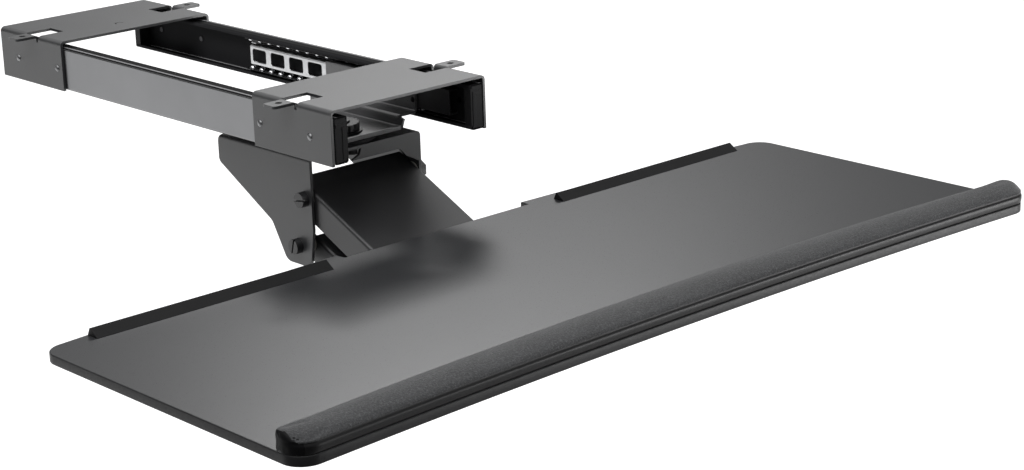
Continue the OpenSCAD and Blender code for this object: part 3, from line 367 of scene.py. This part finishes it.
def black_zinc(name):
    """Rolled rails: smooth black zinc outside; a dull coat on top and inside, darkened as painted shade,
    with a painted highlight line on top.
    """
    made, tree, shader = new_material(name)
    grain = use_group(tree, GROUPS["grain"], Grain_scale=700.0, Grain_depth=0.03, Tone_scale=7.0)
    place = axes(tree, place_on_part(tree))
    facing = axes(tree, node(tree, "ShaderNodeNewGeometry").outputs["Normal"])
    outward = math_node(tree, "MULTIPLY", {0: place["X"], 1: facing["X"]})
    outside = spread(tree, outward, 0.0, 1.0, *RAIL_OUTER_SIDE)
    # Faces turned towards the track's middle take the inside's painted shade
    inside = spread(tree, outward, 1.0, 0.0, *RAIL_INNER_SIDE)
    across = math_node(tree, "ABSOLUTE", {0: place["X"]})
    # A painted highlight: a pale line on the level top faces near the lip's inner edge
    band = math_node(tree, "MULTIPLY", {0: spread(tree, across, 0.0, 1.0, *HIGHLIGHT_LINE_FROM),
                                        1: spread(tree, across, 1.0, 0.0, *HIGHLIGHT_LINE_TO)})
    level = spread(tree, facing["Z"], 0.0, 1.0, *HIGHLIGHT_LINE_LEVEL)
    painted_highlight = math_node(tree, "MULTIPLY", {0: band, 1: level})
    zinc = colour_mix(tree, spread(tree, grain["Tone"], 0.0, 1.0), *RAIL_ZINC)
    # Painted shade: the top and the inside are darkened
    coat = colour_mix(tree, inside, RAIL_TOP_SHADE, RAIL_INSIDE_SHADE)
    coat = colour_mix(tree, painted_highlight, coat, RAIL_HIGHLIGHT_PAINT)
    body = colour_mix(tree, outside, coat, zinc)
    feed(tree, shader,
         # The rails' sharp edges take a dark colour: painted shade along the bends
         {"Base Color": colour_mix(tree, grain["Edge"], body, RAIL_EDGE_SHADE),
          "Metallic": outside,
          "Roughness": spread(tree, outside, *RAIL_ROUGH, 0.0, 1.0),
          "Normal": grain["Normal"]},
         {"Specular IOR Level": 0.04})
    return made


def cover_material(name):
    made, tree, shader = new_material(name)
    cover = use_group(tree, GROUPS["cover"])
    body = colour_mix(tree, spread(tree, cover["Tone"], 0.0, 1.0), *COVER_TONES)
    speck = spread(tree, cover["Speckle"], 0.0, COVER_SPECK_SHARE, *COVER_SPECK_RANGE)
    feed(tree, shader,
         {"Base Color": colour_mix(tree, speck, body, COVER_SPECK),
          "Roughness": spread(tree, cover["Cells"], *COVER_ROUGH, *COVER_CELL_RANGE),
          "Normal": cover["Normal"]},
         {"Sheen Weight": 0.25, "Sheen Roughness": 0.5, "Specular IOR Level": 0.35})
    return made


def make_finishes():
    GROUPS["grain"] = grain_group()
    GROUPS["brush"] = brush_group()
    GROUPS["cover"] = cover_group()
    for slot, coat in COATS.items():
        FINISH[slot] = coated(*coat)
    for slot, plating in PLATINGS.items():
        FINISH[slot] = plated(*plating)
    FINISH["rail_steel"] = black_zinc("rail zinc")
    FINISH["palm_fabric"] = cover_material("palm cover")


# The sliders get a darker, duller copy of the pan's steel: the darkening is painted shade inside the rails
SHADED_COPY_NODES = {"left_slider": "slider_steel", "right_slider": "slider_steel"}


def finish_nodes():
    record = frame["record"]
    for part in record["subparts"]:
        holder = frame["nodes"][part["node"]]
        look = FINISH[SHADED_COPY_NODES.get(part["node"], part["material_slot"])]
        if holder.material_slots:
            for slot in holder.material_slots:
                slot.material = look
        else:
            holder.data.materials.append(look)


# ---------------------------------------------------------------- mesh helpers
def add_object(name, mesh, slot, body):
    made = bpy.data.objects.new(name, mesh)
    bpy.context.scene.collection.objects.link(made)
    made.data.materials.append(FINISH[slot])
    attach(made, body)
    return made


def mesh_from(name, points, faces, smooth=True):
    mesh = bpy.data.meshes.new(name)
    mesh.from_pydata(points, [], faces)
    mesh.validate()
    mesh.update()
    if smooth:
        mesh.polygons.foreach_set("use_smooth", [True] * len(mesh.polygons))
    return mesh


def face_outwards(mesh):
    """Turns all faces of a closed mesh outwards."""
    shell = bmesh.new()
    shell.from_mesh(mesh)
    bmesh.ops.recalc_face_normals(shell, faces=shell.faces)
    shell.to_mesh(mesh)
    shell.free()


def row_y(from_front):
    """Frame Y, in metres, of a distance in millimetres behind the rails' front end."""
    return (from_front - RAIL_HALF) * MM


def bow(x, half, depth):
    return depth * (1.0 - x * x / (half * half))


# ---------------------------------------------------------------- board
BOARD_TOP = -0.1021
BOARD_THICK = 0.0071
# Places along the track, in millimetres behind the rails' front end
BOARD_REAR = -35.6
BOARD_FRONT = -311.6
NOTCH_FLOOR = -28.2

BOARD_STEPS = 40
BOARD_EDGE_STEPS = 4
CORNER_TURNS = [math.radians(a) for a in range(6, 91, 6)]
# Faces of the board less level than this belong to its edging
BOARD_LEVEL = 0.9


def board_outline(settings):
    half = settings.width / 2
    corner = settings.corner
    inner = half - corner
    notch = settings.notch_half
    steps = BOARD_STEPS
    turns = CORNER_TURNS

    def rear(x):
        return row_y(BOARD_REAR) + bow(x, half, settings.rear_bow)

    def front(x):
        return row_y(BOARD_FRONT) + bow(x, half, settings.front_bow)

    line = []
    for i in range(steps + 1):
        x = inner + (notch - inner) * i / steps
        line.append((x, rear(x)))
    line += [(notch, row_y(NOTCH_FLOOR)), (-notch, row_y(NOTCH_FLOOR))]
    for i in range(steps + 1):
        x = -notch - (inner - notch) * i / steps
        line.append((x, rear(x)))
    for a in turns:
        line.append((-inner - corner * math.sin(a), rear(inner) - corner * (1 - math.cos(a))))
    for a in [0.0] + turns[:-1]:
        line.append((-inner - corner * math.cos(a), front(inner) + corner * (1 - math.sin(a))))
    for i in range(2 * steps + 1):
        x = inner * (i / steps - 1)
        line.append((x, front(x)))
    for a in turns:
        line.append((inner + corner * math.sin(a), front(inner) + corner * (1 - math.cos(a))))
    for a in [0.0] + turns[:-1]:
        line.append((inner + corner * math.cos(a), rear(inner) - corner * (1 - math.sin(a))))
    return line


def inward_turns(centre):
    """For each point of a closed outline, the level direction towards its inside."""
    count = len(centre)
    inward = []
    for i in range(count):
        along = (centre[(i + 1) % count] - centre[i - 1]).normalized()
        inward.append(Vector((-along.y, along.x)))
    area = sum(centre[i].x * centre[(i + 1) % count].y - centre[(i + 1) % count].x * centre[i].y
               for i in range(count))
    return [-v for v in inward] if area < 0 else inward


def build_board():
    settings = bpy.context.scene.kt_board
    centre = [Vector(p) for p in board_outline(settings)]
    inward = inward_turns(centre)
    count = len(centre)
    r = settings.edge_round
    arc = [math.pi / 2 * k / BOARD_EDGE_STEPS for k in range(BOARD_EDGE_STEPS + 1)]
    levels = [(r * (1 - math.sin(a)), BOARD_TOP - BOARD_THICK + r * (1 - math.cos(a))) for a in arc]
    levels += [(r * (1 - math.cos(a)), BOARD_TOP - r * (1 - math.sin(a))) for a in arc]
    points = [(*(centre[i] + inward[i] * inset), z) for inset, z in levels for i in range(count)]
    faces = [tuple(reversed(range(count)))]
    for k in range(len(levels) - 1):
        for i in range(count):
            j = (i + 1) % count
            faces.append((k * count + i, k * count + j, (k + 1) * count + j, (k + 1) * count + i))
    faces.append(tuple((len(levels) - 1) * count + i for i in range(count)))
    mesh = mesh_from("board", points, faces, smooth=False)
    face_outwards(mesh)
    for face in mesh.polygons:
        face.use_smooth = len(face.vertices) == 4
    board = add_object("board", mesh, "board_laminate", "tray")
    board.data.materials.append(FINISH["board_edging"])
    for face in board.data.polygons:
        if abs(face.normal.z) < BOARD_LEVEL:
            face.material_index = 1
    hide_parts("tray_board")


# ---------------------------------------------------------------- palm rest
REST_HALF = 0.354
# Place of the pad's rear edge, in millimetres behind the rails' front end
REST_REAR = -286.0
REST_REAR_BOW = 0.014
REST_FRONT_BOW = 0.0102
REST_FRONT_CORNER = 0.016
REST_REAR_ROUND = 0.0026

# Points of a section on the rear face, its rounding, the top and the front face
REST_REAR_STEPS = 6
REST_ROUND_STEPS = 6
REST_TOP_STEPS = 20
REST_FRONT_STEPS = 7
# Place of the seam's deepest point along a section
SEAM_INDEX = REST_REAR_STEPS + REST_ROUND_STEPS + REST_TOP_STEPS + 1

# The top: how steeply it falls to the front, its setback there, half the seam's width, and the
# depth of pad over which the crown fades
TOP_FALL = 2.6
TOP_SETBACK = 0.0003
SEAM_HALF = 0.0007
CROWN_FADE = 0.02
# The faces: belly of the rear one and of the front one, and how the front one runs out at the foot
REAR_BELLY = 0.0003
FRONT_BELLY = 0.0002
FRONT_SETBACK = 0.0005
FOOT_LIFT = 0.0003
FOOT_SETBACK = 0.0012

CLOTH_FRAMES = 20
# Share of the seam's depth that is left one point below it
SEAM_SHARE = 0.2
# Faces of the pad that turn further than this to either side belong to its ends
END_TURN = 0.5
REST_FABRIC, REST_BAND, REST_END = 0, 1, 2


def quarter(radius, past):
    """How far a rounded corner lies back, at a distance past the corner's start."""
    return radius - math.sqrt(max(0.0, radius * radius - min(radius, max(0.0, past)) ** 2))


def rest_section(x, settings):
    """The pad's outline at a place along its length: rear foot, crown, seam and front foot."""
    to_end = REST_HALF - abs(x)
    front = row_y(BOARD_FRONT) + bow(x, REST_HALF, REST_FRONT_BOW)
    front += quarter(REST_FRONT_CORNER, REST_FRONT_CORNER - to_end)
    rear = row_y(REST_REAR) + bow(x, REST_HALF, REST_REAR_BOW)
    rear -= quarter(settings.rear_corner, settings.rear_corner - to_end)
    top = BOARD_TOP + settings.height - quarter(settings.end_round, settings.end_round - to_end)
    seam = BOARD_TOP + settings.seam_height
    rounding = REST_REAR_ROUND
    line = []
    for t in range(REST_REAR_STEPS + 1):
        u = t / REST_REAR_STEPS
        z = BOARD_TOP + (top - rounding - BOARD_TOP) * u
        line.append((rear - REAR_BELLY * math.sin(math.pi * u), z))
    for t in range(1, REST_ROUND_STEPS):
        a = math.pi / 2 * t / REST_ROUND_STEPS
        line.append((rear - rounding * (1 - math.cos(a)), top - rounding + rounding * math.sin(a)))
    deep = rear - rounding - front
    for t in range(REST_TOP_STEPS + 1):
        u = t / REST_TOP_STEPS
        y = rear - rounding - (deep - TOP_SETBACK) * u
        rise = settings.crown * math.sin(math.pi * u) * min(1.0, deep / CROWN_FADE)
        line.append((y, top + (seam + SEAM_HALF - top) * u ** TOP_FALL + rise))
    line.append((front, seam))
    for t in range(1, REST_FRONT_STEPS + 1):
        u = t / REST_FRONT_STEPS
        y = front - FRONT_BELLY * math.sin(math.pi * u) + FRONT_SETBACK * u * u
        line.append((y, seam - SEAM_HALF + (BOARD_TOP + FOOT_LIFT - seam + SEAM_HALF) * u))
    line.append((front + FOOT_SETBACK, BOARD_TOP))
    return line


def puff(piece, settings):
    """Lets cloth under pressure swell the cover; the foot and the seam are held."""
    held = piece.vertex_groups.new(name="held")
    size = len(rest_section(0.0, settings))
    for v in piece.data.vertices:
        place = v.index % size
        if place < 2 or abs(place - SEAM_INDEX) < 2 or place >= size - 2:
            held.add([v.index], 1.0, "REPLACE")
    before = [v.co.copy() for v in piece.data.vertices]
    cloth = piece.modifiers.new("cloth", "CLOTH")
    cloth.settings.quality = 6
    cloth.settings.mass = 0.0006
    cloth.settings.use_pressure = True
    cloth.settings.uniform_pressure_force = 4.0
    cloth.settings.vertex_group_mass = "held"
    cloth.settings.effector_weights.gravity = 0.0
    cloth.collision_settings.use_collision = False
    scene = bpy.context.scene
    for step in range(1, CLOTH_FRAMES + 1):
        scene.frame_set(step)
    shaped = piece.evaluated_get(bpy.context.evaluated_depsgraph_get())
    after = [v.co.copy() for v in shaped.data.vertices]
    piece.modifiers.remove(cloth)
    scene.frame_set(1)
    for v, old, new in zip(piece.data.vertices, before, after):
        move = new - old
        if move.length > settings.swell:
            move *= settings.swell / move.length
        v.co = old + move
        v.co.z = max(v.co.z, BOARD_TOP)


def rest_mesh(places, sections):
    """The pad's closed skin through all sections, with both ends."""
    size = len(sections[0])
    points = [(x, y, z) for x, section in zip(places, sections) for y, z in section]
    faces = []
    for i in range(len(places) - 1):
        for j in range(size):
            k = (j + 1) % size
            faces.append((i * size + j, i * size + k, (i + 1) * size + k, (i + 1) * size + j))
    faces.append(tuple(range(size)))
    faces.append(tuple(reversed(range((len(places) - 1) * size, len(places) * size))))
    return mesh_from("palm rest", points, faces)


def build_rest():
    settings = bpy.context.scene.kt_rest
    steps = settings.stations
    places = [REST_HALF * math.sin(math.pi / 2 * (2 * i / steps - 1)) for i in range(steps + 1)]
    sections = [rest_section(x, settings) for x in places]
    size = len(sections[0])
    rest = add_object("palm_rest_pad", rest_mesh(places, sections), "palm_fabric", "tray")
    puff(rest, settings)
    # The seam is drawn in after the swelling, and the cover dips into it
    for v in rest.data.vertices:
        place = v.index % size
        if place == SEAM_INDEX:
            v.co.y += settings.seam_depth
        elif place == SEAM_INDEX + 1:
            v.co.y += settings.seam_depth * SEAM_SHARE
    rest.data.materials.append(FINISH["rest_band"])
    rest.data.materials.append(FINISH["rest_end"])
    rest.data.update()
    for face in rest.data.polygons:
        spots = [v % size for v in face.vertices]
        below = all(spot == 0 or spot >= SEAM_INDEX for spot in spots)
        side = REST_BAND if below else REST_FABRIC
        face.material_index = REST_END if abs(face.normal.x) > END_TURN else side
    face_outwards(rest.data)
    smoother = rest.modifiers.new("smooth skin", "SUBSURF")
    smoother.levels = 1
    smoother.render_levels = 1
    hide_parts("palm_rest")


# ---------------------------------------------------------------- small details
# Low and high corner of both legs of a clip, in millimetres: from the middle of the track,
# behind the rails' front end, and up from the desk plane
CLIP_LEGS = (
    ((62.9, -0.5, -14.0), (72.2, 0.0, -11.0)),
    ((62.9, -0.5, -39.0), (66.0, 0.0, -14.0)),
)
CLIP_ROUND = 0.0001


def build_clips():
    """The L-shaped clips that hold the bumpers in the front rail ends."""
    for name, side in (("left_bumper_clip", -1), ("right_bumper_clip", 1)):
        body = bmesh.new()
        for low, high in CLIP_LEGS:
            corners = bmesh.ops.create_cube(body, size=1.0)["verts"]
            for v in corners:
                spot = [low[i] + (high[i] - low[i]) * (v.co[i] + 0.5) for i in range(3)]
                v.co = (side * spot[0] * MM, row_y(spot[1]), spot[2] * MM)
        bmesh.ops.recalc_face_normals(body, faces=body.faces)
        bmesh.ops.bevel(body, geom=list(body.edges), offset=CLIP_ROUND, segments=2, affect="EDGES")
        mesh = bpy.data.meshes.new(name)
        body.to_mesh(mesh)
        body.free()
        add_object(name, mesh, "black_plastic", "frame")


# ---------------------------------------------------------------- studio
WHITE = (1.0, 1.0, 1.0, 1.0)
FLOOR_HALF = 30.0
# The floor's fall of light: share of X in the depth of the room, where the fall starts and ends,
# and the glow where it is dimmest
FLOOR_SLANT = 0.6
FLOOR_FALL = (-1.5, 0.4)
FLOOR_DIM = 0.04
# The floor's grey, darkened towards the user's side as painted shade: over which depth it changes, and both
# greys
FLOOR_SHADE_DEPTHS = (-1.2, 0.0)
FLOOR_SHADE_GREYS = ((0.08, 0.08, 0.08), (0.6, 0.6, 0.6))
# The room in reflections: the height over which it turns from dim to white, and the dim level
HORIZON = (0.38, 0.56)
ROOM_DIM = 0.12

# Each light: its name, place, target, size, and the setting that holds its power
LIGHTS = (
    ("key", (-1.3, -0.6, 2.2), (0.0, -0.2, -0.1), (1.8, 1.8), "key_power"),
    ("back", (4.52, 4.75, 4.28), (0.0, -0.2, 0.0), (1.9, 1.7), "back_power"),
    ("side", (1.1, -1.4, -0.3), (0.3, -0.5, -0.1), (0.6, 0.5), "side_power"),
)

SENSOR_WIDTH = 36.0
CAMERA_PLACE = (-1.1149, -1.5653, 0.4218)
CAMERA_RIGHT = (0.7338, -0.6788, -0.0292)
CAMERA_AHEAD = (0.6426, 0.7073, -0.2946)


def area_light(name, spot, target, size, power):
    data = bpy.data.lights.new(name, "AREA")
    data.shape = "RECTANGLE"
    data.size, data.size_y = size
    data.energy = power
    lamp = bpy.data.objects.new(name, data)
    lamp.visible_camera = False
    bpy.context.scene.collection.objects.link(lamp)
    lamp.location = spot
    lamp.rotation_euler = (Vector(target) - Vector(spot)).to_track_quat("-Z", "Y").to_euler()


def by_ray(tree, direct, glossy, plain):
    """One value for camera and transmission rays, one for reflections, one for plain lighting."""
    path = node(tree, "ShaderNodeLightPath").outputs
    eye = math_node(tree, "MAXIMUM", {0: path["Is Camera Ray"], 1: path["Is Transmission Ray"]})
    value = plain
    for mask, level in ((path["Is Glossy Ray"], glossy), (eye, direct)):
        made = node(tree, "ShaderNodeMix", {MIX_FACTOR: mask}, data_type="FLOAT")
        for index, source in zip(MIX_FLOATS, (value, level)):
            if isinstance(source, float):
                made.inputs[index].default_value = source
            else:
                tree.links.new(source, made.inputs[index])
        value = made.outputs[MIX_FLOAT_RESULT]
    return value


def build_floor(settings):
    """A pale floor that falls off towards the user's side of the room, most on the left: its glow in
    reflections, and its grey as painted shade.
    """
    far, low = FLOOR_HALF, -settings.floor_drop
    corners = [(-far, -far, low), (far, -far, low), (far, far, low), (-far, far, low)]
    mesh = mesh_from("floor", corners, [(0, 1, 2, 3)], smooth=False)
    floor = bpy.data.objects.new("floor", mesh)
    bpy.context.scene.collection.objects.link(floor)
    paint, tree, shader = new_material("pale floor")
    spot = axes(tree, place_on_part(tree))
    depth = math_node(tree, "MULTIPLY_ADD", {0: spot["X"], 2: spot["Y"]}, {1: FLOOR_SLANT})
    fall = spread(tree, depth, FLOOR_DIM, settings.floor_glow, *FLOOR_FALL,
                  interpolation_type="SMOOTHSTEP")
    # Painted shade: the floor's grey darkens towards the user's side of the room
    tone = spread(tree, depth, 0.0, 1.0, *FLOOR_SHADE_DEPTHS)
    feed(tree, shader,
         {"Base Color": colour_mix(tree, tone, *FLOOR_SHADE_GREYS),
          "Emission Strength": by_ray(tree, settings.floor_glow, fall, 0.0)},
         {"Roughness": 0.9, "Specular IOR Level": 0.1, "Emission Color": WHITE})
    floor.data.materials.append(paint)


def build_room(settings):
    """A white room; in reflections it is dim up to head height and white above it."""
    world = bpy.data.worlds.new("white room")
    world.use_nodes = True
    bpy.context.scene.world = world
    tree = world.node_tree
    ray = axes(tree, node(tree, "ShaderNodeTexCoord").outputs["Generated"])
    room = spread(tree, ray["Z"], ROOM_DIM, settings.ceiling, *HORIZON,
                  interpolation_type="SMOOTHSTEP")
    feed(tree, tree.nodes["Background"],
         {"Strength": by_ray(tree, 1.0, room, settings.sky)}, {"Color": WHITE})


def build_camera(settings):
    data = bpy.data.cameras.new("camera")
    data.sensor_width = SENSOR_WIDTH
    data.lens = settings.lens
    data.clip_end = 100.0
    camera = bpy.data.objects.new("camera", data)
    bpy.context.scene.collection.objects.link(camera)
    right = Vector(CAMERA_RIGHT)
    ahead = Vector(CAMERA_AHEAD).normalized()
    right = (right - ahead * right.dot(ahead)).normalized()
    turn = Matrix((right, right.cross(ahead), -ahead)).transposed().to_4x4()
    camera.matrix_world = Matrix.Translation(CAMERA_PLACE) @ turn
    bpy.context.scene.camera = camera


def build_studio():
    scene = bpy.context.scene
    settings = scene.kt_studio
    build_floor(settings)
    build_room(settings)
    for name, spot, target, size, power in LIGHTS:
        area_light(name, spot, target, size, getattr(settings, power))
    build_camera(settings)
    scene.view_settings.view_transform = "Standard"


# ---------------------------------------------------------------- operators
class KT_OT_finishes(bpy.types.Operator):
    """Make the finishes and put them on every carried-over node"""
    bl_idname = "kt.finishes"
    bl_label = "Finishes"

    def execute(self, context):
        make_finishes()
        finish_nodes()
        return {"FINISHED"}


class KT_OT_board(bpy.types.Operator):
    """Build the board with its rounded edges"""
    bl_idname = "kt.board"
    bl_label = "Board"

    def execute(self, context):
        build_board()
        return {"FINISHED"}


class KT_OT_rest(bpy.types.Operator):
    """Build the crowned palm rest with its front seam"""
    bl_idname = "kt.rest"
    bl_label = "Palm rest"

    def execute(self, context):
        build_rest()
        return {"FINISHED"}


class KT_OT_details(bpy.types.Operator):
    """Build the small clips in the front rail ends"""
    bl_idname = "kt.details"
    bl_label = "Small details"

    def execute(self, context):
        build_clips()
        return {"FINISHED"}


class KT_OT_studio(bpy.types.Operator):
    """Set up the floor, the soft light and the camera"""
    bl_idname = "kt.studio"
    bl_label = "Studio"

    def execute(self, context):
        build_studio()
        return {"FINISHED"}


class KT_PT_tray(bpy.types.Panel):
    """The tray's settings and builders"""
    bl_idname = "KT_PT_tray"
    bl_label = "Keyboard tray"
    bl_space_type = "VIEW_3D"
    bl_region_type = "UI"
    bl_category = "Tray"

    def draw(self, context):
        for name, kind in SETTINGS:
            settings = getattr(context.scene, name)
            box = self.layout.box()
            for key in settings.__annotations__:
                box.prop(settings, key)
        for step in STEPS:
            self.layout.operator(step.bl_idname)


STEPS = (KT_OT_finishes, KT_OT_board, KT_OT_rest, KT_OT_details, KT_OT_studio)
SETTINGS = (("kt_board", KT_BoardSettings), ("kt_rest", KT_RestSettings),
            ("kt_studio", KT_StudioSettings))
CLASSES = tuple(kind for name, kind in SETTINGS) + STEPS + (KT_PT_tray,)


def register():
    for kind in CLASSES:
        bpy.utils.register_class(kind)
    for name, kind in SETTINGS:
        setattr(bpy.types.Scene, name, bpy.props.PointerProperty(type=kind))


def unregister():
    for name, kind in SETTINGS:
        delattr(bpy.types.Scene, name)
    for kind in reversed(CLASSES):
        bpy.utils.unregister_class(kind)


def plain(corners):
    return [list(map(float, corner)) for corner in corners]


def main():
    register()
    bpy.ops.kt.finishes()
    bpy.ops.kt.board()
    bpy.ops.kt.rest()
    bpy.ops.kt.details()
    bpy.ops.kt.studio()


if __name__ == "__main__":
    main()
